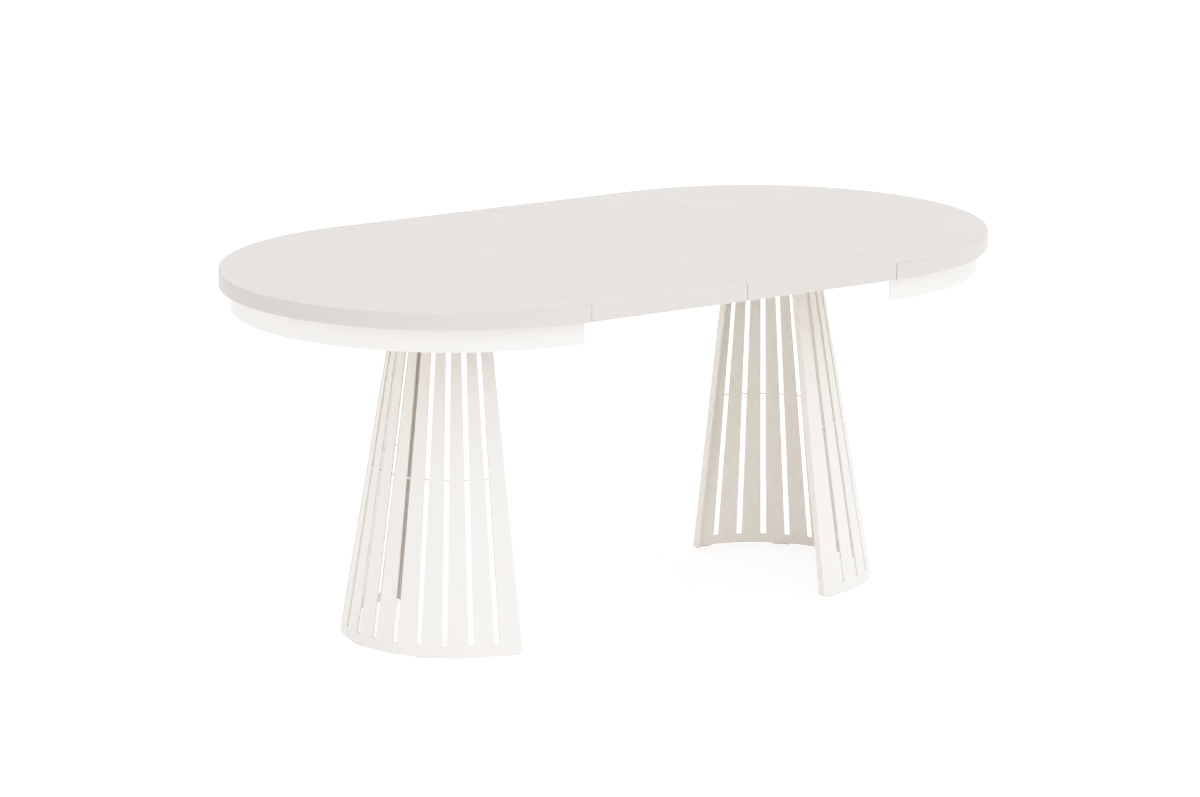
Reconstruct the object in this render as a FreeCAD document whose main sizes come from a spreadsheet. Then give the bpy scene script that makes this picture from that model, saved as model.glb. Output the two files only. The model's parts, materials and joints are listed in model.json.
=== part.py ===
import FreeCAD, Part
import math
import os

import Sketcher

# Extendable dining table: two half-round ends on slatted half-cone pedestals, and two loose leaves.
#
# The table is modelled open, with both leaves in. The origin is on the floor at the middle of the
# table, +X runs along the length and +Z is up. Each half is modelled once in its own frame: the
# seam plane is x = 0, the half lies on the -X side and the floor is z = 0. The right half is the
# same half turned by 180 degrees about Z.

VECTOR = FreeCAD.Vector
UP = VECTOR(0, 0, 1)

doc = FreeCAD.newDocument("extendable_dining_table")
sheet = doc.addObject("Spreadsheet::Sheet", "Dims")

# Driving dimensions, in millimetres and degrees.
DIMENSIONS = {
    # boards
    "top_radius": 500,
    "leaf_width": 380,
    "table_height": 780,
    "board_thickness": 36,
    "edge_round": 2,
    "seam_bevel": 0.4,
    "seam_gap": 0.6,
    # alignment pins in the board edges
    "pin_diameter": 10,
    "pin_reach": 12,
    "pin_depth": 16,
    "pin_pitch": 330,
    "socket_play": 0.4,
    # aprons under the half rounds
    "apron_radius": 476,
    "apron_thickness": 4,
    "apron_height": 48,
    "apron_setback": 1,
    "tab_depth": 26,
    "tab_width": 40,
    "tab_thickness": 4,
    # half-cone pedestals
    "base_radius": 251,
    "neck_radius": 122,
    "shell_thickness": 4,
    "flange_width": 20,
    "pedestal_setback": 8,
    "slot_pitch": 180 / 14,
    "slot_foot_width": 12,
    "slot_head_width": 9.5,
    "slot_foot_height": 24,
    "slot_head_height": 695,
    "bridge_foot_height": 361.5,
    "bridge_head_height": 364,
    "head_radius": 150,
    "head_thickness": 6,
    "gusset_height": 70,
    "gusset_depth": 50,
    "bolt_circle": 137,
    "bolt_step": 37.5,
    "bolt_head": 7,
    "bolt_shank": 8,
    "bolt_bite": 22,
    "glide_height": 2,
    "glide_length": 40,
    "glide_step": 42,
    # telescopic slides
    "slide_spread": 250,
    "slide_length": 700,
    "slide_end_play": 0.5,
    "beam_height": 44.6,
    "beam_half_width": 9,
    "beam_web": 3,
    "beam_drop": 0.5,
    "sheet_metal": 2,
    "race_gap": 5,
    "channel_back": 14,
    "channel_lip": 4,
    "cage_length": 200,
    "cage_strip": 1,
    "cage_web_inset": 2.3,
    "cage_clearance": 1,
    "ball_diameter": 4.4,
    "ball_line": 7,
    "ball_pitch": 20,
    "bumper_length": 6,
    "runner_width": 20,
    "runner_height": 45,
    "runner_length": 345,
    "runner_inset": 5,
    # screws
    "screw_head": 8,
    "screw_head_height": 2.5,
    "screw_shank": 4,
    "screw_bite": 18,
    "side_screw_bite": 16,
    "side_screw_start": 60,
    "side_screw_pitch": 130,
}
for row, (alias, number) in enumerate(DIMENSIONS.items(), start=1):
    sheet.set(f"A{row}", alias)
    sheet.set(f"B{row}", str(number))
    sheet.setAlias(f"B{row}", alias)
doc.recompute()

# Heights and depths that several sub-parts share, as formulas in the sheet's dimensions.
UNDERSIDE = "(Dims.table_height - Dims.board_thickness)"
HEAD_FOOT = f"({UNDERSIDE} - Dims.head_thickness)"
CONE_SLOPE = f"((Dims.base_radius - Dims.neck_radius) / {UNDERSIDE})"
SLIDE_LEVEL = f"({UNDERSIDE} - Dims.beam_drop - Dims.beam_height / 2)"
RUNNER_FOOT = f"({UNDERSIDE} - Dims.runner_height)"
CHANNEL_HALF = "(Dims.beam_height / 2 - Dims.sheet_metal - Dims.race_gap)"
BALL_LEVEL = f"({CHANNEL_HALF} + Dims.race_gap / 2)"
SLOT_TAPER = (
    "((Dims.slot_foot_width - Dims.slot_head_width)"
    " / (Dims.slot_head_height - Dims.slot_foot_height))"
)
PIN_ROWS = ("-Dims.pin_pitch", "0", "Dims.pin_pitch")

SLOTS_EACH_WAY = 6
GUSSET_SLATS = (2, 5, 8, 11)
# Directions of the apron's tabs from the middle of the half round, clear of the slides.
TAB_ANGLES = (100, 124, 163, 197, 236, 260)
# How far a cutting tool runs past the face that it opens, and how near two equal lengths are.
OVERRUN = 1
NEAR = 0.01

nodes = []


def number(formula):
    """The present value of a formula in the sheet's dimensions."""
    return float(sheet.evalExpression(formula))


def bind(thing, **formulas):
    """Tie properties of an object to formulas in the sheet's dimensions."""
    for name, formula in formulas.items():
        thing.setExpression(name, str(formula))
    return thing


def move(thing, x="0", y="0", z="0", axis=UP, turn=0.0):
    """Turn an object about an axis by a fixed angle and tie its place to formulas."""
    thing.Placement = FreeCAD.Placement(VECTOR(0, 0, 0), FreeCAD.Rotation(axis, turn))
    for letter, formula in zip("xyz", (x, y, z)):
        thing.setExpression(f".Placement.Base.{letter}", str(formula))
    return thing


def box(name, length, width, height, x="0", y="0", z="0"):
    solid = doc.addObject("Part::Box", name)
    bind(solid, Length=length, Width=width, Height=height)
    return move(solid, x, y, z)


def cylinder(name, radius, height, x="0", y="0", z="0", axis=UP, turn=0.0):
    solid = doc.addObject("Part::Cylinder", name)
    bind(solid, Radius=radius, Height=height)
    return move(solid, x, y, z, axis, turn)


def cut(name, base, tool):
    result = doc.addObject("Part::Cut", name)
    result.Base = base
    result.Tool = tool
    return result


def fuse(name, pieces):
    result = doc.addObject("Part::MultiFuse", name)
    result.Shapes = pieces
    return result


def common(name, pieces):
    result = doc.addObject("Part::MultiCommon", name)
    result.Shapes = pieces
    return result


def group(name, pieces):
    result = doc.addObject("Part::Compound", name)
    result.Links = pieces
    return result


def finish(thing, label):
    """Give a finished sub-part the name of its file."""
    thing.Label = label
    nodes.append(thing)
    return thing


def finish_half(thing, side, piece):
    """Place a sub-part of a half in the table and name it."""
    if side == "left":
        move(thing, x="-Dims.leaf_width")
    else:
        move(thing, x="Dims.leaf_width", turn=180)
    return finish(thing, f"{side}_{piece}")


def origin_item(body, role):
    """A plane or axis of the body's own origin."""
    return next(item for item in body.Origin.OriginFeatures if item.Role == role)


def new_sketch(body, name, plane):
    sketch = body.newObject("Sketcher::SketchObject", name)
    sketch.AttachmentSupport = (origin_item(body, plane), [""])
    sketch.MapMode = "FlatFace"
    return sketch


def fix_point(sketch, curve, end, x, y):
    """Tie one end of a sketch curve to two formulas."""
    origin, x_axis, y_axis = -1, -1, -2
    for kind, formula, zero_axis in (("DistanceX", x, y_axis), ("DistanceY", y, x_axis)):
        if formula == "0":
            sketch.addConstraint(Sketcher.Constraint("PointOnObject", curve, end, zero_axis))
            continue
        index = sketch.addConstraint(
            Sketcher.Constraint(kind, origin, 1, curve, end, number(formula))
        )
        sketch.setExpression(f"Constraints[{index}]", formula)


def polygon(body, name, plane, corners):
    """A closed outline of straight lines, each corner given as two formulas."""
    sketch = new_sketch(body, name, plane)
    spots = [VECTOR(number(x), number(y), 0) for x, y in corners]
    count = len(spots)
    for i in range(count):
        sketch.addGeometry(Part.LineSegment(spots[i], spots[(i + 1) % count]), False)
    for i in range(count):
        sketch.addConstraint(Sketcher.Constraint("Coincident", i, 2, (i + 1) % count, 1))
        fix_point(sketch, i, 1, *corners[i])
    return sketch


def pad(body, name, sketch, length, midplane=False):
    feature = body.newObject("PartDesign::Pad", name)
    feature.Profile = sketch
    feature.Midplane = midplane
    bind(feature, Length=length)
    return feature


def extrusion(name, plane, corners, length, midplane=True):
    """A body of one straight-sided section, extruded."""
    body = doc.addObject("PartDesign::Body", name)
    sketch = polygon(body, name + "_section", plane, corners)
    pad(body, name + "_pad", sketch, length, midplane)
    return body


def edge_names(shape, wanted):
    """The names of the edges whose middle point passes a test."""
    names = []
    for i, edge in enumerate(shape.Edges, start=1):
        middle = edge.valueAt((edge.FirstParameter + edge.LastParameter) / 2)
        if wanted(middle):
            names.append(f"Edge{i}")
    return names


def dress(body, kind, name, base, wanted, **sizes):
    """A fillet or chamfer on the edges of a feature that pass a test."""
    doc.recompute()
    feature = body.newObject(kind, name)
    feature.Base = (base, edge_names(base.Shape, wanted))
    return bind(feature, **sizes)


# ---------------------------------------------------------------- boards


def on_face_rim(point):
    """True on the top and bottom faces of a board, whose body starts at its underside."""
    thickness = DIMENSIONS["board_thickness"]
    return min(abs(point.z), abs(point.z - thickness)) < NEAR


def half_round_board(name):
    """The half-round end board, with its underside at z = 0."""
    body = doc.addObject("PartDesign::Body", name)
    sketch = new_sketch(body, name + "_outline", "XY_Plane")
    radius = number("Dims.top_radius")
    seam = -number("Dims.seam_gap / 2")
    reach = math.sqrt(radius**2 - seam**2)
    start = math.atan2(reach, seam)
    circle = Part.Circle(VECTOR(0, 0, 0), UP, radius)
    rim = sketch.addGeometry(Part.ArcOfCircle(circle, start, 2 * math.pi - start), False)
    line = Part.LineSegment(VECTOR(seam, -reach, 0), VECTOR(seam, reach, 0))
    straight = sketch.addGeometry(line, False)
    sketch.addConstraint(Sketcher.Constraint("Coincident", rim, 3, -1, 1))
    sketch.addConstraint(Sketcher.Constraint("Coincident", rim, 2, straight, 1))
    sketch.addConstraint(Sketcher.Constraint("Coincident", rim, 1, straight, 2))
    sketch.addConstraint(Sketcher.Constraint("Vertical", straight))
    size = sketch.addConstraint(Sketcher.Constraint("Radius", rim, radius))
    sketch.setExpression(f"Constraints[{size}]", "Dims.top_radius")
    gap = sketch.addConstraint(Sketcher.Constraint("DistanceX", -1, 1, straight, 1, seam))
    sketch.setExpression(f"Constraints[{gap}]", "-Dims.seam_gap / 2")
    board = pad(body, name + "_pad", sketch, "Dims.board_thickness")
    bevelled = dress(
        body, "PartDesign::Chamfer", name + "_bevel", board,
        lambda p: on_face_rim(p) and abs(p.x - seam) < NEAR, Size="Dims.seam_bevel",
    )
    dress(
        body, "PartDesign::Fillet", name + "_round", bevelled,
        lambda p: on_face_rim(p) and p.x < seam - OVERRUN, Radius="Dims.edge_round",
    )
    return body


def leaf_board(name):
    """A leaf, centred on x = 0 and y = 0, with its underside at z = 0."""
    half_width = "(Dims.leaf_width - Dims.seam_gap) / 2"
    corners = [
        (f"-{half_width}", "-Dims.top_radius"),
        (half_width, "-Dims.top_radius"),
        (half_width, "Dims.top_radius"),
        (f"-{half_width}", "Dims.top_radius"),
    ]
    body = extrusion(name, "XY_Plane", corners, "Dims.board_thickness", midplane=False)
    radius = DIMENSIONS["top_radius"]
    rounded = dress(
        body, "PartDesign::Fillet", name + "_round", body.Tip,
        lambda p: on_face_rim(p) and abs(abs(p.y) - radius) < NEAR, Radius="Dims.edge_round",
    )
    dress(
        body, "PartDesign::Chamfer", name + "_bevel", rounded,
        lambda p: on_face_rim(p) and abs(abs(p.y) - radius) > OVERRUN, Size="Dims.seam_bevel",
    )
    return body


def edge_rods(name, radius, start, length, level):
    """Three rods along +X in a board's edge: pins, or the tools that bore sockets."""
    rods = [
        cylinder(f"{name}_{i}", radius, length, start, y, level, VECTOR(0, 1, 0), 90)
        for i, y in enumerate(PIN_ROWS)
    ]
    return group(name, rods)


def pins(name, edge, level):
    """Dowel pins that stand out of the board edge at x = edge."""
    return edge_rods(
        name, "Dims.pin_diameter / 2", f"{edge} - Dims.pin_depth",
        "Dims.pin_depth + Dims.pin_reach", level,
    )


def sockets(name, edge, level):
    """Bores that take the next board's pins, from the board edge at x = edge."""
    return edge_rods(
        name, "Dims.pin_diameter / 2 + Dims.socket_play", f"{edge} - {OVERRUN}",
        f"Dims.pin_depth + {OVERRUN}", level,
    )


def build_leaf(side):
    """One leaf with sockets along its left edge and pins along its right edge."""
    label = f"leaf_{side}"
    middle = "-Dims.leaf_width / 2" if side == "left" else "Dims.leaf_width / 2"
    half_width = "(Dims.leaf_width - Dims.seam_gap) / 2"
    mid_level = "Dims.board_thickness / 2"
    bores = sockets(f"{label}_bores", f"-{half_width}", mid_level)
    dowels = pins(f"{label}_dowels", half_width, mid_level)
    board = cut(f"{label}_drilled", leaf_board(f"{label}_board"), group(f"{label}_cuts", [bores, dowels]))
    finish(move(board, x=middle, z=UNDERSIDE), label)
    finish(move(group(f"{label}_pin_set", [dowels]), x=middle, z=UNDERSIDE), f"{label}_pins")


# ---------------------------------------------------------------- screws


def spin(x, y, angle):
    """Formulas of a point turned about Z by an angle in degrees."""
    cosine = round(math.cos(math.radians(angle)), 9)
    sine = round(math.sin(math.radians(angle)), 9)
    return f"({x}) * {cosine} - ({y}) * {sine}", f"({x}) * {sine} + ({y}) * {cosine}"


def upright_screws(name, spots, seat, length, shank="Dims.screw_shank", hexagon=None):
    """Screws driven upwards from a seat height, each with its head below the seat."""
    pieces = []
    for i, (x, y) in enumerate(spots):
        pieces.append(cylinder(f"{name}_shank_{i}", f"{shank} / 2", length, x, y, seat))
        if hexagon:
            head = doc.addObject("Part::Prism", f"{name}_head_{i}")
            head.Polygon = 6
            bind(head, Circumradius=hexagon, Height=hexagon)
            pieces.append(move(head, x, y, f"{seat} - {hexagon}"))
        else:
            pieces.append(
                cylinder(
                    f"{name}_head_{i}", "Dims.screw_head / 2", "Dims.screw_head_height",
                    x, y, f"{seat} - Dims.screw_head_height",
                )
            )
    return fuse(name, pieces)


# ---------------------------------------------------------------- pedestal


def cone_radius(height):
    """The shell's outer radius at a height."""
    return f"(Dims.base_radius - {CONE_SLOPE} * {height})"


def slot_half_width(height):
    return f"((Dims.slot_foot_width - {SLOT_TAPER} * ({height} - Dims.slot_foot_height)) / 2)"


def slot_outline(body, name, foot, head):
    """One tapered slot opening between two heights, seen along X."""
    low = slot_half_width(foot)
    high = slot_half_width(head)
    corners = [(f"-{low}", foot), (low, foot), (high, head), (f"-{high}", head)]
    return polygon(body, name, "YZ_Plane", corners)


def pedestal_shell(name):
    """A slotted half cone of sheet about its own z axis, on the -X side, with folded edges."""
    body = doc.addObject("PartDesign::Body", name)
    foot = "Dims.glide_height"
    foot_radius = cone_radius(foot)
    head_radius = cone_radius(HEAD_FOOT)
    wall = polygon(
        body, name + "_wall", "XZ_Plane",
        [
            (f"-{foot_radius}", foot),
            (f"-({foot_radius} - Dims.shell_thickness)", foot),
            (f"-({head_radius} - Dims.shell_thickness)", HEAD_FOOT),
            (f"-{head_radius}", HEAD_FOOT),
        ],
    )
    cone = body.newObject("PartDesign::Revolution", name + "_cone")
    cone.Profile = wall
    cone.ReferenceAxis = (wall, ["V_Axis"])
    cone.Angle = 180
    cone.Midplane = True
    doc.recompute()
    solid_volume = cone.Shape.Volume

    pockets = []
    for part, low, high in (
        ("low", "Dims.slot_foot_height", "Dims.bridge_foot_height"),
        ("high", "Dims.bridge_head_height", "Dims.slot_head_height"),
    ):
        pocket = body.newObject("PartDesign::Pocket", f"{name}_slot_{part}")
        pocket.Profile = slot_outline(body, f"{name}_slot_{part}_outline", low, high)
        bind(pocket, Length=f"Dims.base_radius + {OVERRUN}")
        doc.recompute()
        pockets.append(pocket)
    one_slot = solid_volume - pockets[-1].Shape.Volume
    if one_slot < 1:
        raise RuntimeError("the slot points away from the shell")

    for way, reverse in (("left", False), ("right", True)):
        fan = body.newObject("PartDesign::PolarPattern", f"{name}_slots_{way}")
        fan.Originals = pockets
        fan.Axis = (origin_item(body, "Z_Axis"), [""])
        fan.Reversed = reverse
        fan.Occurrences = SLOTS_EACH_WAY + 1
        bind(fan, Angle=f"Dims.slot_pitch * {SLOTS_EACH_WAY}")
        body.Tip = fan
        doc.recompute()
    slots_cut = (solid_volume - fan.Shape.Volume) / one_slot
    if abs(slots_cut - (2 * SLOTS_EACH_WAY + 1)) > 0.01:
        raise RuntimeError(f"{slots_cut:.2f} slots were cut")

    # the two straight edges are folded inwards into stiffening flanges
    for edge, sign in (("front", "-"), ("back", "")):
        flange = polygon(
            body, f"{name}_{edge}_flange_outline", "YZ_Plane",
            [
                (f"{sign}({foot_radius} - Dims.flange_width)", foot),
                (f"{sign}({foot_radius} - Dims.shell_thickness / 2)", foot),
                (f"{sign}({head_radius} - Dims.shell_thickness / 2)", HEAD_FOOT),
                (f"{sign}({head_radius} - Dims.flange_width)", HEAD_FOOT),
            ],
        )
        fold = pad(body, f"{name}_{edge}_flange", flange, "Dims.shell_thickness")
        fold.Reversed = True
    return body


def build_pedestal(side):
    """The shell, its head plate with gussets and bolts, and its glides."""
    tag = f"{side}_pedestal"
    axis_x = "-Dims.pedestal_setback"
    shell = group(f"{tag}_upright", [move(pedestal_shell(f"{tag}_body"), x=axis_x)])

    # head plate: a half disc under the board, bolted to it
    disc = cylinder(f"{tag}_disc", "Dims.head_radius", "Dims.head_thickness", axis_x, "0", HEAD_FOOT)
    half_space = box(
        f"{tag}_half", "Dims.head_radius", "2 * Dims.head_radius", "Dims.head_thickness",
        f"{axis_x} - Dims.head_radius", "-Dims.head_radius", HEAD_FOOT,
    )
    plate = common(f"{tag}_plate", [disc, half_space])
    bolt_spots = []
    for step in range(-2, 3):
        x, y = spin("Dims.bolt_circle", "0", 180 + step * DIMENSIONS["bolt_step"])
        bolt_spots.append((f"{axis_x} + {x}", y))
    bolts = upright_screws(
        f"{tag}_bolt_tools", bolt_spots, HEAD_FOOT, "Dims.head_thickness + Dims.bolt_bite",
        shank="Dims.bolt_shank", hexagon="Dims.bolt_head",
    )

    # gussets between head plate and shell, each behind the middle of a slat
    gusset_foot = f"({HEAD_FOOT} - Dims.gusset_height)"
    bore = doc.addObject("Part::Cone", f"{tag}_bore")
    bind(
        bore,
        Radius1=f"{cone_radius(gusset_foot)} - Dims.shell_thickness",
        Radius2=f"{cone_radius(HEAD_FOOT)} - Dims.shell_thickness",
        Height="Dims.gusset_height",
    )
    move(bore, axis_x, "0", gusset_foot)
    pitch = DIMENSIONS["slot_pitch"]
    plates = []
    for i, slat in enumerate(GUSSET_SLATS):
        angle = 90 + (slat + 0.5) * pitch
        gusset_inner = f"({cone_radius(HEAD_FOOT)} - Dims.gusset_depth)"
        x, y = spin(gusset_inner, "-Dims.shell_thickness / 2", angle)
        sheet_box = box(
            f"{tag}_gusset_{i}", "2 * Dims.gusset_depth", "Dims.shell_thickness", "Dims.gusset_height"
        )
        plates.append(move(sheet_box, f"{axis_x} + {x}", y, gusset_foot, UP, angle))
    gussets = common(f"{tag}_gusset_cut", [bore, group(f"{tag}_gusset_boxes", plates)])

    # short nylon strips under the sheet's lower edge
    rim = cylinder(f"{tag}_rim", cone_radius("Dims.glide_height"), "Dims.glide_height", axis_x)
    rim_bore = cylinder(
        f"{tag}_rim_bore", f"{cone_radius('Dims.glide_height')} - Dims.shell_thickness",
        "Dims.glide_height", axis_x,
    )
    pads = []
    for step in range(-2, 3):
        angle = 180 + step * DIMENSIONS["glide_step"]
        x, y = spin("Dims.base_radius - 3 * Dims.shell_thickness", "-Dims.glide_length / 2", angle)
        pad_box = box(
            f"{tag}_glide_{angle}", "6 * Dims.shell_thickness", "Dims.glide_length", "Dims.glide_height"
        )
        pads.append(move(pad_box, f"{axis_x} + {x}", y, "0", UP, angle))
    ring = cut(f"{tag}_rim_ring", rim, rim_bore)
    glides = common(f"{tag}_glide_cut", [ring, group(f"{tag}_glide_boxes", pads)])

    finish_half(shell, side, "pedestal_shell")
    finish_half(cut(f"{tag}_head", plate, bolts), side, "pedestal_head")
    finish_half(gussets, side, "pedestal_gussets")
    finish_half(group(f"{tag}_bolt_set", [bolts]), side, "head_bolts")
    finish_half(glides, side, "glides")
    return bolts


# ---------------------------------------------------------------- apron


def build_apron(side):
    """The bent sheet apron under the half round, its welded tabs and their screws."""
    tag = f"{side}_apron"
    foot = f"({UNDERSIDE} - Dims.apron_height)"
    inner = "(Dims.apron_radius - Dims.apron_thickness)"
    outer_disc = cylinder(f"{tag}_outer", "Dims.apron_radius", "Dims.apron_height", z=foot)
    inner_disc = cylinder(f"{tag}_inner", inner, "Dims.apron_height", z=foot)
    ring = cut(f"{tag}_ring", outer_disc, inner_disc)
    half_space = box(
        f"{tag}_half", "Dims.apron_radius", "2 * Dims.apron_radius", "Dims.apron_height",
        "-Dims.apron_radius - Dims.apron_setback", "-Dims.apron_radius", foot,
    )
    apron = common(f"{tag}_bent", [ring, half_space])

    # tabs lie flat under the board, and reach in from the apron's inner face
    tab_inner = f"({inner} - Dims.tab_depth)"
    tab_foot = f"({UNDERSIDE} - Dims.tab_thickness)"
    limit = cylinder(f"{tag}_tab_limit", inner, "Dims.tab_thickness", z=tab_foot)
    plates = []
    for angle in TAB_ANGLES:
        x, y = spin(tab_inner, "-Dims.tab_width / 2", angle)
        plate = box(f"{tag}_plate_{angle}", "2 * Dims.tab_depth", "Dims.tab_width", "Dims.tab_thickness")
        plates.append(move(plate, x, y, tab_foot, UP, angle))
    tabs = common(f"{tag}_tab_plates", [limit, group(f"{tag}_plates", plates)])
    spots = [spin(f"{tab_inner} + Dims.tab_depth / 2", "0", angle) for angle in TAB_ANGLES]
    screws = upright_screws(
        f"{tag}_screw_tools", spots, tab_foot, "Dims.tab_thickness + Dims.screw_bite"
    )

    finish_half(apron, side, "apron")
    finish_half(cut(f"{tag}_tab_set", tabs, screws), side, "apron_tabs")
    finish_half(group(f"{tag}_screw_set", [screws]), side, "apron_screws")
    return screws


# ---------------------------------------------------------------- slides


def channel_section():
    """The C section of an outer slide member, open towards the beam's web (y = 0)."""
    back = "-Dims.channel_back"
    inside = "-Dims.channel_back + Dims.sheet_metal"
    lip = "-Dims.channel_lip"
    shelf = f"({CHANNEL_HALF} - Dims.sheet_metal)"
    return [
        (back, f"-{CHANNEL_HALF}"),
        (lip, f"-{CHANNEL_HALF}"),
        (lip, f"-{shelf}"),
        (inside, f"-{shelf}"),
        (inside, shelf),
        (lip, shelf),
        (lip, CHANNEL_HALF),
        (back, CHANNEL_HALF),
    ]


def beam_section():
    """The H section of the middle slide member."""
    side = "Dims.beam_half_width"
    web = "Dims.beam_web / 2"
    top = "Dims.beam_height / 2"
    shelf = "(Dims.beam_height / 2 - Dims.sheet_metal)"
    return [
        (f"-{side}", f"-{top}"),
        (side, f"-{top}"),
        (side, f"-{shelf}"),
        (web, f"-{shelf}"),
        (web, shelf),
        (side, shelf),
        (side, top),
        (f"-{side}", top),
        (f"-{side}", shelf),
        (f"-{web}", shelf),
        (f"-{web}", f"-{shelf}"),
        (f"-{side}", f"-{shelf}"),
    ]


def cage_body(name):
    """A ball cage: a C strip between channel and beam, with a row of balls above and below."""
    near = "-Dims.cage_web_inset"
    web = "(-Dims.cage_web_inset - Dims.cage_strip)"
    far = "(-Dims.channel_back + Dims.sheet_metal + Dims.cage_clearance)"
    low = f"({BALL_LEVEL} - Dims.cage_strip / 2)"
    high = f"({BALL_LEVEL} + Dims.cage_strip / 2)"
    corners = [
        (near, f"-{high}"),
        (near, high),
        (far, high),
        (far, low),
        (web, low),
        (web, f"-{low}"),
        (far, f"-{low}"),
        (far, f"-{high}"),
    ]
    body = extrusion(name, "YZ_Plane", corners, "Dims.cage_length")
    balls = []
    for row, sign in (("top", ""), ("foot", "-")):
        ball = body.newObject("PartDesign::AdditiveSphere", f"{name}_ball_{row}")
        bind(ball, Radius="Dims.ball_diameter / 2")
        start = "-Dims.cage_length / 2 + Dims.ball_pitch / 2"
        for letter, formula in zip("xyz", (start, "-Dims.ball_line", f"{sign}{BALL_LEVEL}")):
            ball.setExpression(f".AttachmentOffset.Base.{letter}", formula)
        ball.AttachmentSupport = (origin_item(body, "XY_Plane"), [""])
        ball.MapMode = "FlatFace"
        balls.append(ball)
    doc.recompute()
    rows = body.newObject("PartDesign::LinearPattern", f"{name}_rows")
    rows.Originals = balls
    rows.Direction = (origin_item(body, "X_Axis"), [""])
    rows.Occurrences = round(number("Dims.cage_length / Dims.ball_pitch"))
    bind(rows, Length="Dims.cage_length - Dims.ball_pitch")
    body.Tip = rows
    return body


def world_row(side, local_sign):
    """Front or back, for a slide on the -Y or +Y side of a half's own frame."""
    faces_front = (local_sign < 0) == (side == "left")
    return "front" if faces_front else "back"


def build_slide_members(side):
    """A half's outer slide members, and the wooden runners that hold them."""
    runner_screw_spots = []
    runners = []
    for local_sign in (-1, 1):
        row = world_row(side, local_sign)
        tag = f"{side}_{row}"
        line = f"({local_sign} * Dims.slide_spread)"
        channel = extrusion(
            f"{tag}_channel_body", "YZ_Plane", channel_section(),
            "Dims.slide_length - 2 * Dims.slide_end_play",
        )
        move(channel, y=line, z=SLIDE_LEVEL)
        runner = box(
            f"{tag}_runner_bar", "Dims.runner_length", "Dims.runner_width", "Dims.runner_height",
            "-Dims.runner_length - Dims.runner_inset",
            f"{line} - Dims.channel_back - Dims.runner_width", RUNNER_FOOT,
        )
        # screws through the channel's back into the runner, and two through the runner between them
        rods = []
        for i in range(3):
            x = f"-(Dims.side_screw_start + {i} * Dims.side_screw_pitch)"
            shank = cylinder(
                f"{tag}_channel_shank_{i}", "Dims.screw_shank / 2", "Dims.side_screw_bite",
                x, f"{line} - Dims.channel_back + Dims.sheet_metal", SLIDE_LEVEL, VECTOR(1, 0, 0), 90,
            )
            head = cylinder(
                f"{tag}_channel_head_{i}", "Dims.screw_head / 2", "Dims.screw_head_height",
                x, f"{line} - Dims.channel_back + Dims.sheet_metal + Dims.screw_head_height",
                SLIDE_LEVEL, VECTOR(1, 0, 0), 90,
            )
            rods += [shank, head]
        channel_screws = fuse(f"{tag}_channel_screw_tools", rods)
        runners.append((tag, row, runner, channel, channel_screws))
        for i in range(2):
            x = f"-(Dims.side_screw_start + ({i} + 0.5) * Dims.side_screw_pitch)"
            middle = f"{line} - Dims.channel_back - Dims.runner_width / 2"
            runner_screw_spots.append((x, middle))
    runner_screws = upright_screws(
        f"{side}_runner_screw_tools", runner_screw_spots, RUNNER_FOOT,
        "Dims.runner_height + Dims.screw_bite",
    )
    for tag, row, runner, channel, channel_screws in runners:
        cuts = group(f"{tag}_runner_cuts", [runner_screws, channel_screws])
        finish_half(cut(f"{tag}_channel_drilled", channel, channel_screws), side, f"{row}_channel")
        finish_half(cut(f"{tag}_runner_drilled", runner, cuts), side, f"{row}_runner")
        finish_half(group(f"{tag}_channel_screw_set", [channel_screws]), side, f"{row}_channel_screws")
    finish_half(group(f"{side}_runner_screw_set", [runner_screws]), side, "runner_screws")
    return runner_screws


def build_middle_members():
    """The two middle beams, their end bumpers and the four ball cages."""
    for row, sign in (("front", -1), ("back", 1)):
        line = f"{sign} * Dims.slide_spread"
        beam = extrusion(f"{row}_beam", "YZ_Plane", beam_section(), "Dims.slide_length")
        finish(move(beam, y=line, z=SLIDE_LEVEL), f"{row}_slide_middle")
        bumpers = []
        for end, shift_x, shift_y in (
            ("right", "Dims.slide_length / 2", "-Dims.channel_back"),
            ("left", "-Dims.slide_length / 2 - Dims.bumper_length", "-Dims.beam_web / 2"),
        ):
            bumpers.append(
                box(
                    f"{row}_bumper_{end}", "Dims.bumper_length", "Dims.channel_back + Dims.beam_web / 2",
                    f"2 * {CHANNEL_HALF}", shift_x, f"{line} + {shift_y}", f"{SLIDE_LEVEL} - {CHANNEL_HALF}",
                )
            )
        finish(group(f"{row}_bumper_set", bumpers), f"{row}_slide_bumpers")
        for side, turn, half_travel in (
            ("left", 0, "-Dims.leaf_width / 2"),
            ("right", 180, "Dims.leaf_width / 2"),
        ):
            cage = cage_body(f"{side}_{row}_cage_body")
            finish(move(cage, half_travel, line, SLIDE_LEVEL, UP, turn), f"{side}_{row}_cage")


# ---------------------------------------------------------------- the table


def build_top(side, tools):
    """The half-round board, drilled for its screws and its pins or sockets."""
    mid_level = f"({UNDERSIDE} + Dims.board_thickness / 2)"
    edge = "-Dims.seam_gap / 2"
    board = move(half_round_board(f"{side}_board"), z=UNDERSIDE)
    if side == "left":
        dowels = pins("left_dowels", edge, mid_level)
        tools = tools + [dowels]
        finish_half(group("left_pin_set", [dowels]), side, "top_pins")
    else:
        depth = f"Dims.pin_depth + {OVERRUN}"
        bores = edge_rods(
            "right_bores", "Dims.pin_diameter / 2 + Dims.socket_play",
            f"{edge} - Dims.pin_depth", depth, mid_level,
        )
        tools = tools + [bores]
    finish_half(cut(f"{side}_top_drilled", board, group(f"{side}_top_cuts", tools)), side, "top")


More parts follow.
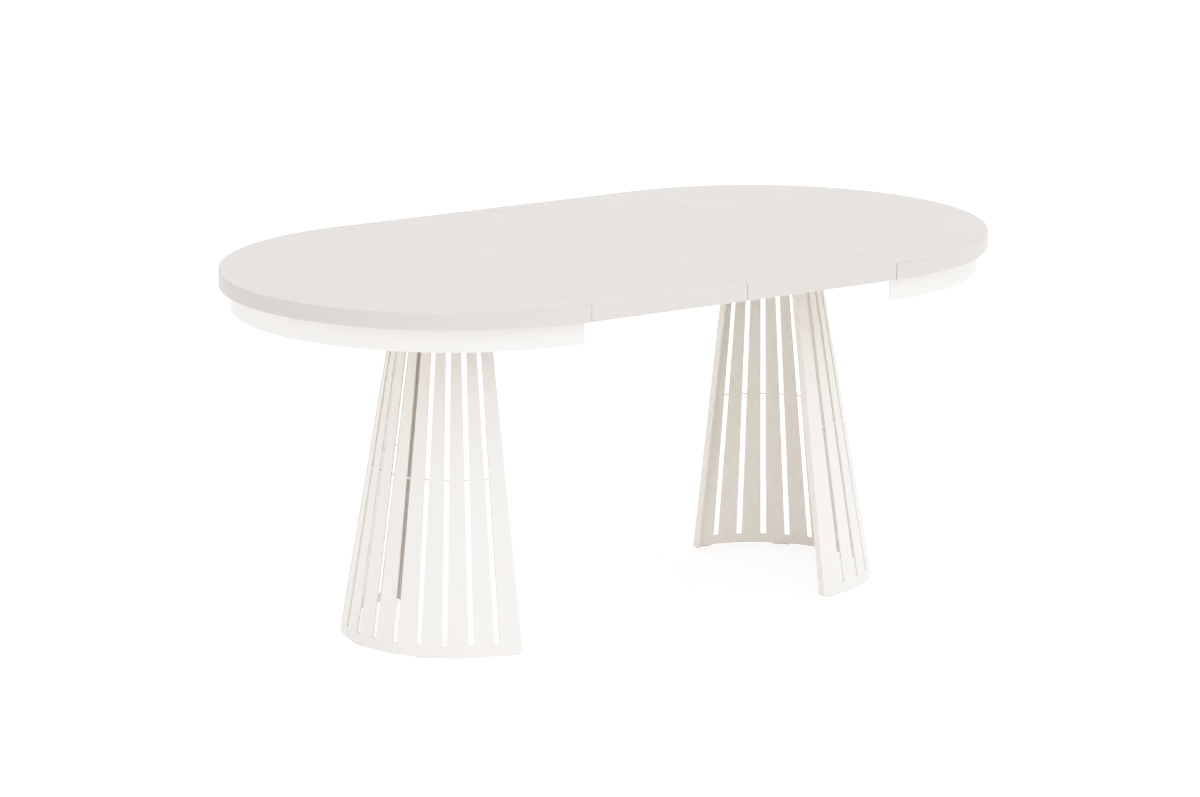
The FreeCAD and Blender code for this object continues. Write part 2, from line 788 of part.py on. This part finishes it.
for half in ("left", "right"):
    bolts = build_pedestal(half)
    apron_screws = build_apron(half)
    runner_screws = build_slide_members(half)
    build_top(half, [bolts, apron_screws, runner_screws])
build_middle_members()
build_leaf("left")
build_leaf("right")
doc.recompute()

faults = [item.Name for item in doc.Objects if {"Invalid", "Error"} & set(item.State)]
if faults:
    raise RuntimeError("failed objects: " + ", ".join(faults))
for node in nodes:
    if node.Shape.isNull() or not node.Shape.isValid():
        raise RuntimeError("bad shape: " + node.Label)

os.makedirs("parts", exist_ok=True)
for node in nodes:
    node.Shape.exportStep(os.path.join("parts", node.Label + ".step"))
print(len(nodes), "sub-parts written")
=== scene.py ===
import json
import math

import bmesh
import bpy
from mathutils import Matrix, Vector


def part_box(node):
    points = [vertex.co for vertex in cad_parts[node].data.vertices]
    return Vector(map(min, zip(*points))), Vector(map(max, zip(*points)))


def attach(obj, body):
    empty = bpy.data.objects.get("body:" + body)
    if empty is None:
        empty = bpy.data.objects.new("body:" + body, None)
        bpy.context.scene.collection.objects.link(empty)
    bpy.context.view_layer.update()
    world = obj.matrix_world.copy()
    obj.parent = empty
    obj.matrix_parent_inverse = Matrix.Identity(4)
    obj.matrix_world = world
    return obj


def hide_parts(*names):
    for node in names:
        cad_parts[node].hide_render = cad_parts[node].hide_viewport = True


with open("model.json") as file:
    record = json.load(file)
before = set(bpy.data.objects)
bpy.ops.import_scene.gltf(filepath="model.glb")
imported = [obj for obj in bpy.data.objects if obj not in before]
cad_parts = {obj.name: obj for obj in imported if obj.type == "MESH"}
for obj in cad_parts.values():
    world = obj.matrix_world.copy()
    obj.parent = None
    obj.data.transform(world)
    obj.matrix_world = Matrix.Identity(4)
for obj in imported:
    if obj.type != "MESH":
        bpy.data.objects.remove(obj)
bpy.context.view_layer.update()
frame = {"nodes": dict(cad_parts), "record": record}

# Extendable dining table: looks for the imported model, in metres, in the model's own frame.

nodes = frame["nodes"]
body_of = {
    node: body
    for body, names in frame["record"]["behaviour"]["bodies"].items()
    for node in names
}
scene = bpy.context.scene

MILLIMETRE = 0.001
WHITE = (1.0, 1.0, 1.0)


def add_object(name, data):
    """A new object in the scene."""
    new = bpy.data.objects.new(name, data)
    scene.collection.objects.link(new)
    return new


def direction(turn, height):
    """A unit vector turned from the front towards the right and raised, both in radians."""
    level = math.cos(height)
    return Vector((math.sin(turn) * level, -math.cos(turn) * level, math.sin(height)))


# ---------------------------------------------------------------- camera

CAMERA_AZIMUTH = -0.5848
CAMERA_ELEVATION = 0.2282
CAMERA_ROLL = -0.0003
CAMERA_PLACE = Vector((-5.0813, -7.6306, 2.5729))
CAMERA_LENS = 131.81
CAMERA_REACH = 60.0
SENSOR_WIDTH = 36.0


def add_camera():
    """A long lens from the front left, a little above the table top."""
    data = bpy.data.cameras.new("camera")
    data.lens = CAMERA_LENS
    data.sensor_width = SENSOR_WIDTH
    data.clip_end = CAMERA_REACH
    back = direction(CAMERA_AZIMUTH, CAMERA_ELEVATION)
    right = Vector((math.cos(CAMERA_AZIMUTH), math.sin(CAMERA_AZIMUTH), 0.0))
    up = back.cross(right)
    rolled_right = math.cos(CAMERA_ROLL) * right + math.sin(CAMERA_ROLL) * up
    rolled_up = math.cos(CAMERA_ROLL) * up - math.sin(CAMERA_ROLL) * right
    axes = Matrix((rolled_right, rolled_up, back)).transposed()
    camera = add_object("camera", data)
    camera.matrix_world = Matrix.Translation(CAMERA_PLACE) @ axes.to_4x4()
    scene.camera = camera


# ---------------------------------------------------------------- floor, light and film

FLOOR_SIZE = 60.0
FLOOR_COLOUR = (0.95, 0.95, 0.95)
FLOOR_ROUGHNESS = 0.9
FLOOR_GLOSS = 0.2
FLOOR_GLOW = 0.36
SKY_STRENGTH = 0.80
LIGHT_SPREAD = math.radians(70.0)
# name: strength, height above the horizon and turn from the front towards the right, in degrees
BROAD_LIGHTS = {"key_light": (1.0, 50.0, 0.0), "back_light": (0.87, 30.0, 150.0)}
FILM_KNEE = 0.8
FILM_WHITE = 1.25
FILM_CONTRAST = 1.6
FILM_POINTS = 11
COMBINED_CURVE = 3


def add_floor():
    """A plain pale floor that glows a little, so that it comes out pure white."""
    half = FLOOR_SIZE / 2
    corners = [(-half, -half, 0.0), (half, -half, 0.0), (half, half, 0.0), (-half, half, 0.0)]
    mesh = bpy.data.meshes.new("studio_floor")
    mesh.from_pydata(corners, [], [(0, 1, 2, 3)])
    material = bpy.data.materials.new("studio_floor")
    material.use_nodes = True
    shader = material.node_tree.nodes["Principled BSDF"]
    shader.inputs["Base Color"].default_value = (*FLOOR_COLOUR, 1.0)
    shader.inputs["Roughness"].default_value = FLOOR_ROUGHNESS
    shader.inputs["Specular IOR Level"].default_value = FLOOR_GLOSS
    shader.inputs["Emission Color"].default_value = (*WHITE, 1.0)
    shader.inputs["Emission Strength"].default_value = FLOOR_GLOW
    mesh.materials.append(material)
    add_object("studio_floor", mesh)


def add_sky():
    """An even white surround."""
    world = bpy.data.worlds.new("studio")
    world.use_nodes = True
    background = world.node_tree.nodes["Background"]
    background.inputs["Color"].default_value = (*WHITE, 1.0)
    background.inputs["Strength"].default_value = SKY_STRENGTH
    scene.world = world


def add_light(name, strength, height, turn):
    """A very wide, soft sun, given by its height and its turn from the front, in degrees."""
    data = bpy.data.lights.new(name, "SUN")
    data.energy = strength
    data.angle = LIGHT_SPREAD
    towards = direction(math.radians(turn), math.radians(height))
    lamp = add_object(name, data)
    lamp.matrix_world = towards.to_track_quat("Z", "Y").to_matrix().to_4x4()


def film_tone(level):
    """The shown value of a scene brightness: contrast below the knee, a soft shoulder above."""
    if level < FILM_KNEE:
        return FILM_KNEE * (level / FILM_KNEE) ** FILM_CONTRAST
    short_of_white = (FILM_WHITE - level) / (FILM_WHITE - FILM_KNEE)
    return 1.0 - (1.0 - FILM_KNEE) * short_of_white**2


def set_film():
    """Photographic tones: the floor reaches pure white, and white paint stays just below it."""
    view = scene.view_settings
    view.view_transform = "Standard"
    view.use_curve_mapping = True
    mapping = view.curve_mapping
    mapping.white_level = (FILM_WHITE, FILM_WHITE, FILM_WHITE)
    curve = mapping.curves[COMBINED_CURVE]
    for i in range(1, FILM_POINTS + 1):
        part = i / (FILM_POINTS + 1)
        curve.points.new(part, film_tone(part * FILM_WHITE))
    mapping.update()


# ---------------------------------------------------------------- node helpers

# sockets of a Mix node that mixes colours
MIX_FACTOR, MIX_FIRST, MIX_SECOND, MIX_RESULT = 0, 6, 7, 2
BEVEL_SAMPLES = 4
# dot product of the rounded normal and the face's own, on a flat face and on an edge
FACE_AGREEMENT, EDGE_AGREEMENT = 0.995, 0.85
# s * (1 - s) is at most a quarter, so this brings it up to 1
SLOPE_PEAK = 4.0


class Paint:
    """A Principled material and short calls to add its nodes."""

    def __init__(self, name):
        self.material = bpy.data.materials.new(name)
        self.material.use_nodes = True
        self.tree = self.material.node_tree
        self.shader = self.tree.nodes["Principled BSDF"]
        self.coordinates = self.add("ShaderNodeTexCoord").outputs

    def give(self, socket, value):
        """Links a socket to another one, or sets its value; a colour gets an alpha of 1."""
        if isinstance(value, bpy.types.NodeSocket):
            self.tree.links.new(value, socket)
        elif socket.type == "RGBA":
            socket.default_value = (*value, 1.0)
        else:
            socket.default_value = value

    def add(self, kind, inputs=None, **settings):
        """A new node, with its settings and its inputs."""
        node = self.tree.nodes.new(kind)
        for name, value in settings.items():
            setattr(node, name, value)
        for name, value in (inputs or {}).items():
            self.give(node.inputs[name], value)
        return node

    def stretched(self, scale):
        """The object's coordinates, scaled along each axis."""
        inputs = {"Scale": scale, "Vector": self.coordinates["Object"]}
        return self.add("ShaderNodeMapping", inputs).outputs["Vector"]

    def noise(self, scale, detail, vector=None, distortion=0.0, roughness=0.5):
        """Fractal noise from 0 to 1, its scale given per metre."""
        inputs = {
            "Scale": scale, "Detail": detail, "Distortion": distortion, "Roughness": roughness,
            "Vector": vector or self.coordinates["Object"],
        }
        return self.add("ShaderNodeTexNoise", inputs).outputs["Fac"]

    def ramp(self, source, stops):
        """A colour ramp through (position, colour) stops."""
        node = self.add("ShaderNodeValToRGB", {"Fac": source})
        elements = node.color_ramp.elements
        while len(elements) < len(stops):
            elements.new(0.5)
        for element, (position, colour) in zip(elements, stops):
            element.position = position
            element.color = (*colour, 1.0)
        return node.outputs["Color"]

    def span(self, source, low, high):
        """Maps 0..1 to low..high."""
        inputs = {"Value": source, "To Min": low, "To Max": high}
        return self.add("ShaderNodeMapRange", inputs).outputs["Result"]

    def blend(self, factor, first, second, mode="MIX"):
        """The first colour with the second one over it."""
        inputs = {MIX_FACTOR: factor, MIX_FIRST: first, MIX_SECOND: second}
        node = self.add("ShaderNodeMix", inputs, data_type="RGBA", blend_type=mode)
        return node.outputs[MIX_RESULT]

    def bump(self, height, distance, strength, under=None):
        """A normal with bumps, over another normal if one is given."""
        inputs = {"Height": height, "Distance": distance, "Strength": strength}
        if under:
            inputs["Normal"] = under
        return self.add("ShaderNodeBump", inputs).outputs["Normal"]

    def calculate(self, operation, first, second):
        """The result of one Math node."""
        node = self.add("ShaderNodeMath", {0: first, 1: second}, operation=operation)
        return node.outputs["Value"]

    def soft_edges(self, radius):
        """A normal that rounds sharp edges, and a mask that is 1 on those edges and 0 on faces."""
        bevel = self.add("ShaderNodeBevel", {"Radius": radius}, samples=BEVEL_SAMPLES)
        rounded = bevel.outputs["Normal"]
        face = self.add("ShaderNodeNewGeometry").outputs["Normal"]
        match = self.add("ShaderNodeVectorMath", {0: rounded, 1: face}, operation="DOT_PRODUCT")
        inputs = {
            "Value": match.outputs["Value"],
            "From Min": FACE_AGREEMENT,
            "From Max": EDGE_AGREEMENT,
        }
        return rounded, self.add("ShaderNodeMapRange", inputs).outputs["Result"]

    def slopes(self):
        """1 where a surface leans half way over, as on a rounded rim, and 0 if flat or upright."""
        normal = {"Vector": self.coordinates["Normal"]}
        upward = self.add("ShaderNodeSeparateXYZ", normal).outputs["Z"]
        square = self.calculate("MULTIPLY", upward, upward)
        rest = self.calculate("SUBTRACT", 1.0, square)
        product = self.calculate("MULTIPLY", square, rest)
        return self.calculate("MULTIPLY", product, SLOPE_PEAK)

    def feed(self, **sockets):
        """Sets or links the shader's inputs; underscores in a name stand for spaces."""
        for name, value in sockets.items():
            self.give(self.shader.inputs[name.replace("_", " ")], value)
        return self.material


def scaled(colour, factor):
    """A colour times a number, and no brighter than white."""
    return tuple(min(1.0, c * factor) for c in colour)


def clouded(colour):
    """The slightly darker and warmer shade that a painted colour clouds towards."""
    return tuple(c * part for c, part in zip(colour, (0.985, 0.98, 0.97)))


def along(axis, length_scale, cross_scale):
    """Scales that stretch a texture along one axis."""
    return tuple(length_scale if name == axis else cross_scale for name in "xyz")


# ---------------------------------------------------------------- finishes


def lacquer(name, colour):
    """Silk-matt lacquer on a board: slow clouding, fine spray texture and a painted highlight
    along the rounded rim.
    """
    paint = Paint(name)
    clouds = paint.noise(scale=2.2, detail=4.0)
    base = paint.ramp(clouds, [(0.3, clouded(colour)), (0.7, colour)])
    # painted highlight: where the surface leans half way over, as on the rounded rim, the colour
    # is made paler, as if it caught the light
    rim_highlight = paint.span(paint.slopes(), low=0.0, high=0.9)
    base = paint.blend(rim_highlight, base, scaled(colour, 1.12))
    ripple = paint.noise(scale=420.0, detail=3.0)
    spray = paint.noise(scale=1800.0, detail=2.0)
    normal = paint.bump(ripple, distance=0.03 * MILLIMETRE, strength=0.4)
    normal = paint.bump(spray, distance=0.02 * MILLIMETRE, strength=0.5, under=normal)
    rough = paint.span(paint.noise(scale=14.0, detail=4.0), low=0.50, high=0.60)
    return paint.feed(
        Base_Color=base, Roughness=rough, Normal=normal, Coat_Weight=0.08, Coat_Roughness=0.45,
        Specular_IOR_Level=0.4,
    )


def powder_coat(name, colour):
    """Matt powder coat on sheet steel: orange peel, faint clouding and grit, and a painted
    highlight on the soft edges.
    """
    paint = Paint(name)
    clouds = paint.noise(scale=5.0, detail=4.0)
    base = paint.ramp(clouds, [(0.3, clouded(colour)), (0.7, colour)])
    rounded, edges = paint.soft_edges(0.8 * MILLIMETRE)
    # painted highlight: the sharp edges, inward ones too, are made paler, as if they caught the
    # light
    base = paint.blend(paint.span(edges, low=0.0, high=0.5), base, scaled(colour, 1.06))
    peel = paint.noise(scale=700.0, detail=2.0)
    grit = paint.noise(scale=2600.0, detail=2.0)
    speck = paint.ramp(grit, [(0.28, (0.93, 0.93, 0.92)), (0.42, WHITE)])
    base = paint.blend(0.6, base, speck, "MULTIPLY")
    normal = paint.bump(peel, distance=0.08 * MILLIMETRE, strength=0.5, under=rounded)
    normal = paint.bump(grit, distance=0.03 * MILLIMETRE, strength=0.5, under=normal)
    rough = paint.span(paint.noise(scale=18.0, detail=4.0), low=0.46, high=0.58)
    return paint.feed(Base_Color=base, Roughness=rough, Normal=normal, Specular_IOR_Level=0.45)


def bare_wood(name, pale, dark, grain_axis):
    """Planed beech: long grain lines, short ray flecks and an open, dry surface."""
    paint = Paint(name)
    grain = paint.stretched(along(grain_axis, 4.0, 60.0))
    flow = paint.noise(scale=1.0, detail=6.0, vector=grain, distortion=0.6, roughness=0.65)
    base = paint.ramp(flow, [(0.3, dark), (0.5, pale), (0.75, scaled(pale, 1.1))])
    rays = paint.stretched(along(grain_axis, 240.0, 1500.0))
    fleck = paint.noise(scale=1.0, detail=1.0, vector=rays)
    fleck_tint = paint.ramp(fleck, [(0.62, WHITE), (0.72, (0.82, 0.74, 0.66))])
    base = paint.blend(0.6, base, fleck_tint, "MULTIPLY")
    rough = paint.span(flow, low=0.5, high=0.72)
    normal = paint.bump(flow, distance=0.3 * MILLIMETRE, strength=0.5)
    return paint.feed(Base_Color=base, Roughness=rough, Normal=normal)


def metal(name, colour, roughness, grain_axis=None):
    """Rolled or turned steel with a directional finish and faint spangle."""
    paint = Paint(name)
    rolling = paint.stretched(along(grain_axis, 3.0, 260.0))
    lines = paint.noise(scale=1.0, detail=3.0, vector=rolling)
    spangle = paint.noise(scale=70.0, detail=2.0)
    base = paint.ramp(spangle, [(0.35, scaled(colour, 0.9)), (0.65, colour)])
    rough = paint.span(lines, low=roughness - 0.1, high=roughness + 0.12)
    normal = paint.bump(lines, distance=0.05 * MILLIMETRE, strength=0.5)
    return paint.feed(Base_Color=base, Metallic=1.0, Roughness=rough, Normal=normal)


def moulded(name, colour, roughness):
    """Moulded plastic or rubber with a fine even texture."""
    paint = Paint(name)
    clouds = paint.noise(scale=40.0, detail=3.0)
    base = paint.ramp(clouds, [(0.3, scaled(colour, 0.9)), (0.7, colour)])
    rough = paint.span(clouds, low=roughness - 0.06, high=roughness + 0.06)
    texture = paint.noise(scale=1600.0, detail=2.0)
    normal = paint.bump(texture, distance=0.05 * MILLIMETRE, strength=0.4)
    return paint.feed(Base_Color=base, Roughness=rough, Normal=normal)


CASHMERE = (0.605, 0.5825, 0.568)
WARM_WHITE = (0.79, 0.767, 0.742)
BEECH_PALE = (0.60, 0.49, 0.38)
BEECH_DARK = (0.50, 0.385, 0.28)
ZINC = (0.60, 0.61, 0.62)
NATURAL_NYLON = (0.72, 0.70, 0.66)
BLACK_RUBBER = (0.03, 0.03, 0.03)

# the finish of each material slot in the record
finishes = {
    "top_lacquer": lacquer("cashmere_lacquer", CASHMERE),
    "frame_paint": powder_coat("white_powder_coat", WARM_WHITE),
    "beech": bare_wood("planed_beech", BEECH_PALE, BEECH_DARK, "x"),
    "dowel_beech": bare_wood("turned_beech", BEECH_PALE, BEECH_DARK, "x"),
    "slide_steel": metal("rolled_steel", ZINC, 0.38, "x"),
    "zinc_steel": metal("plated_steel", ZINC, 0.32),
    "nylon": moulded("moulded_nylon", NATURAL_NYLON, 0.5),
    "bumper_rubber": moulded("moulded_rubber", BLACK_RUBBER, 0.75),
}


def dress_nodes():
    """Gives every CAD node the finish of its slot in the record."""
    for part in frame["record"]["subparts"]:
        node = nodes[part["node"]]
        for place in node.material_slots:
            place.link = "OBJECT"
            place.material = finishes[part["material_slot"]]


# ---------------------------------------------------------------- meshes

WELD_DISTANCE = 0.001 * MILLIMETRE
SHARP_ANGLE = math.radians(35.0)


def solids(node):
    """The corner points of each separate solid in a CAD node."""
    shape = bmesh.new()
    shape.from_mesh(nodes[node].data)
    bmesh.ops.remove_doubles(shape, verts=shape.verts, dist=WELD_DISTANCE)
    shape.verts.index_update()
    seen = set()
    groups = []
    for first in shape.verts:
        if first.index in seen:
            continue
        seen.add(first.index)
        group = [first]
        for vertex in group:
            for edge in vertex.link_edges:
                other = edge.other_vert(vertex)
                if other.index not in seen:
                    seen.add(other.index)
                    group.append(other)
        groups.append([vertex.co.copy() for vertex in group])
    shape.free()
    return groups


def circle(points):
    """Angles evenly spaced round a circle."""
    return [2 * math.pi * k / points for k in range(points)]


class Skin:
    """Points and faces of a piece in the making."""

    def __init__(self):
        self.points = []
        self.faces = []

    def tube(self, rings):
        """Skins a row of closed rings and closes both ends."""
        count = len(rings[0])
        first = len(self.points)
        for ring in rings:
            self.points.extend(ring)
        for i in range(len(rings) - 1):
            for k in range(count):
                near = first + i * count + k
                beside = first + i * count + (k + 1) % count
                self.faces.append((near, beside, beside + count, near + count))
        last = first + (len(rings) - 1) * count
        self.faces.append(tuple(range(first, first + count)))
        self.faces.append(tuple(range(last, last + count)))

    def piece(self, name, body, slot):
        """The finished piece, riding on a body, with the finish of a slot."""
        mesh = bpy.data.meshes.new(name)
        mesh.from_pydata(self.points, [], self.faces)
        shape = bmesh.new()
        shape.from_mesh(mesh)
        bmesh.ops.recalc_face_normals(shape, faces=shape.faces)
        shape.to_mesh(mesh)
        shape.free()
        for face in mesh.polygons:
            face.use_smooth = True
        mesh.set_sharp_from_angle(angle=SHARP_ANGLE)
        mesh.materials.append(finishes[slot])
        piece = add_object(name, mesh)
        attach(piece, body)
        return piece


# ---------------------------------------------------------------- fasteners

# A fastener is a row of rings, each a depth from its outer end and a radius, which is a length
# or a function of the angle. Heads are in shares of the plain CAD head's height and radius.

FASTENER_POINTS = 18
RINGS_A_TURN = 3
THREAD_DEPTH = 0.2
SOCKET_RADIUS = 0.44
LOBE_HEIGHT = 0.14
# a corner further out than this many shank radii is on the head
HEAD_FROM = 1.2


def hexagon(size):
    """Radius of a hexagon at an angle, with corners at a size."""
    sixth = math.pi / 3
    flat = size * math.cos(sixth / 2)
    return lambda angle: flat / math.cos(angle % sixth - sixth / 2)


def lobes(size):
    """Radius of a six-lobed driver socket at an angle."""
    return lambda angle: size * (1.0 + LOBE_HEIGHT * math.cos(6 * angle))


def screw_head(radius, height):
    """Rings of a low round head with a six-lobed socket, from the socket's floor outwards."""
    socket = lobes(SOCKET_RADIUS * radius)
    return [
        (0.62 * height, socket), (0.03 * height, socket), (0.0, 0.62 * radius),
        (0.14 * height, 0.86 * radius), (0.45 * height, 0.98 * radius), (height, radius),
    ]


def bolt_head(radius, height):
    """Rings of a hexagon head with a chamfered face and a flange."""
    sides = hexagon(radius)
    return [
        (0.0, 0.8 * radius), (0.14 * height, sides), (0.76 * height, sides),
        (0.82 * height, 1.2 * radius), (height, 1.25 * radius),
    ]


# the kind of fastener that a node's name ends with: its head, its pitch and its tip's radius
# as a share of the shank's
FASTENERS = {
    "_screws": (screw_head, 1.8 * MILLIMETRE, 0.3),
    "_bolts": (bolt_head, 1.5 * MILLIMETRE, 0.85),
}


def thread(start, end, radius, pitch, tip):
    """Rings of a threaded shank that ends in a tip."""
    spacing = pitch / RINGS_A_TURN
    rows = [(start, radius)]
    for i in range(1, int((end - start) / spacing)):
        depth = start + i * spacing

        def crest(angle, depth=depth):
            part = (depth / pitch - angle / (2 * math.pi)) % 1.0
            return radius * (1.0 - THREAD_DEPTH * abs(2 * part - 1.0))

        rows.append((depth, crest))
    rows.append((end, tip * radius))
    return rows


def fastener(skin, corners, head, pitch, tip):
    """Adds a detailed fastener in the place of a plain one, given by the plain one's corners."""
    low = Vector([min(corner[i] for corner in corners) for i in range(3)])
    high = Vector([max(corner[i] for corner in corners) for i in range(3)])
    middle = (low + high) / 2
    main = max(range(3), key=lambda i: high[i] - low[i])
    others = [i for i in range(3) if i != main]

    def reach(corner):
        return math.hypot(*(corner[i] - middle[i] for i in others))

    head_radius = max(reach(corner) for corner in corners)
    shank_radius = min(reach(corner) for corner in corners)
    levels = [corner[main] for corner in corners if reach(corner) > HEAD_FROM * shank_radius]
    head_height = max(levels) - min(levels)
    head_is_low = min(levels) - low[main] < high[main] - max(levels)
    start, inward = (low[main], 1.0) if head_is_low else (high[main], -1.0)
    length = high[main] - low[main]

    rows = head(head_radius, head_height)
    rows += thread(head_height, length, shank_radius, pitch, tip)
    rings = []
    for depth, size in rows:
        ring = []
        for angle in circle(FASTENER_POINTS):
            radius = size(angle) if callable(size) else size
            point = middle.copy()
            point[main] = start + inward * depth
            point[others[0]] += radius * math.cos(angle)
            point[others[1]] += radius * math.sin(angle)
            ring.append(point)
        rings.append(ring)
    skin.tube(rings)


def add_fasteners():
    """Screws and bolts with driver sockets, flanges and threads, in place of the plain ones."""
    for node in sorted(nodes):
        for ending, style in FASTENERS.items():
            if not node.endswith(ending):
                continue
            skin = Skin()
            for corners in solids(node):
                fastener(skin, corners, *style)
            piece = skin.piece(f"{node}_threaded", body_of[node], "zinc_steel")
            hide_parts(node)


# ---------------------------------------------------------------- welds

BEAD_POINTS = 8
BEAD_RADIUS = 1.6 * MILLIMETRE
BEAD_RIPPLE = 3.2 * MILLIMETRE
RINGS_A_RIPPLE = 4
RIPPLE_HEIGHT = 0.14
BEAD_END = 0.35
TAB_WELD_RUNS = 4


def bead(skin, line):
    """Adds a rippled weld bead along a line of points; a single run tapers at its ends."""
    tapers = len(line) == 2
    for start, end in zip(line, line[1:]):
        run = end - start
        count = max(2, round(RINGS_A_RIPPLE * run.length / BEAD_RIPPLE))
        side = run.orthogonal().normalized()
        lift = run.normalized().cross(side)
        rings = []
        for i in range(count + 1):
            ripples = run.length * i / count / BEAD_RIPPLE
            size = BEAD_RADIUS * (1.0 + RIPPLE_HEIGHT * math.sin(2 * math.pi * ripples))
            if tapers and i in (0, count):
                size *= BEAD_END
            centre = start + run * (i / count)
            rings.append([
                centre + size * (side * math.cos(angle) + lift * math.sin(angle))
                for angle in circle(BEAD_POINTS)
            ])
        skin.tube(rings)


def gusset_welds(skin, corners, axis):
    """Beads along both sides of a gusset, under the head plate and down the shell."""
    middle = sum(corners, Vector()) / len(corners)
    outward = (middle - axis).to_2d().normalized().to_3d()
    across = Vector((-outward.y, outward.x, 0.0))
    top = max(corner.z for corner in corners)
    foot = min(corner.z for corner in corners)
    half = max(abs((corner - middle).dot(across)) for corner in corners)
    reach = [(corner.z, (corner - axis).dot(outward)) for corner in corners]
    near = min(distance for level, distance in reach)
    far_top = max(distance for level, distance in reach if top - level < MILLIMETRE)
    far_foot = max(distance for level, distance in reach if level - foot < MILLIMETRE)

    def spot(distance, level, side):
        return Vector((axis.x, axis.y, level)) + outward * distance + across * side

    for side in (-half, half):
        bead(skin, [spot(near, top, side), spot(far_top, top, side)])
        bead(skin, [spot(far_top, top, side), spot(far_foot, foot, side)])


def tab_weld(skin, corners, axis):
    """A bead along a tab's outer edge, where it meets the apron."""
    foot = min(corner.z for corner in corners)
    arms = [corner - axis for corner in corners]
    rim = max(arm.to_2d().length for arm in arms)
    edge = [arm for arm in arms if arm.to_2d().length > rim - MILLIMETRE]
    middle = sum(edge, Vector()) / len(edge)
    centre = math.atan2(middle.y, middle.x)
    outward = Vector((math.cos(centre), math.sin(centre)))
    spread = max(outward.angle(arm.to_2d()) for arm in edge)
    line = []
    for i in range(TAB_WELD_RUNS + 1):
        angle = centre + spread * (2 * i / TAB_WELD_RUNS - 1)
        line.append(axis + Vector((rim * math.cos(angle), rim * math.sin(angle), foot)))
    bead(skin, line)


def add_welds():
    """Weld beads on the gussets and on the apron tabs of both halves."""
    leaf_low, leaf_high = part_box("leaf_left")
    leaf_width = leaf_high[0] - leaf_low[0]
    for side, inner_corner, seam_x in (("left", 1, -leaf_width), ("right", 0, leaf_width)):
        skin = Skin()
        head_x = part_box(f"{side}_pedestal_head")[inner_corner][0]
        for corners in solids(f"{side}_pedestal_gussets"):
            gusset_welds(skin, corners, Vector((head_x, 0.0, 0.0)))
        for corners in solids(f"{side}_apron_tabs"):
            tab_weld(skin, corners, Vector((seam_x, 0.0, 0.0)))
        skin.piece(f"{side}_welds", f"{side}_half", "frame_paint")


# ---------------------------------------------------------------- the scene

add_camera()
add_floor()
add_sky()
for light_name, light_settings in BROAD_LIGHTS.items():
    add_light(light_name, *light_settings)
set_film()
dress_nodes()
add_fasteners()
add_welds()
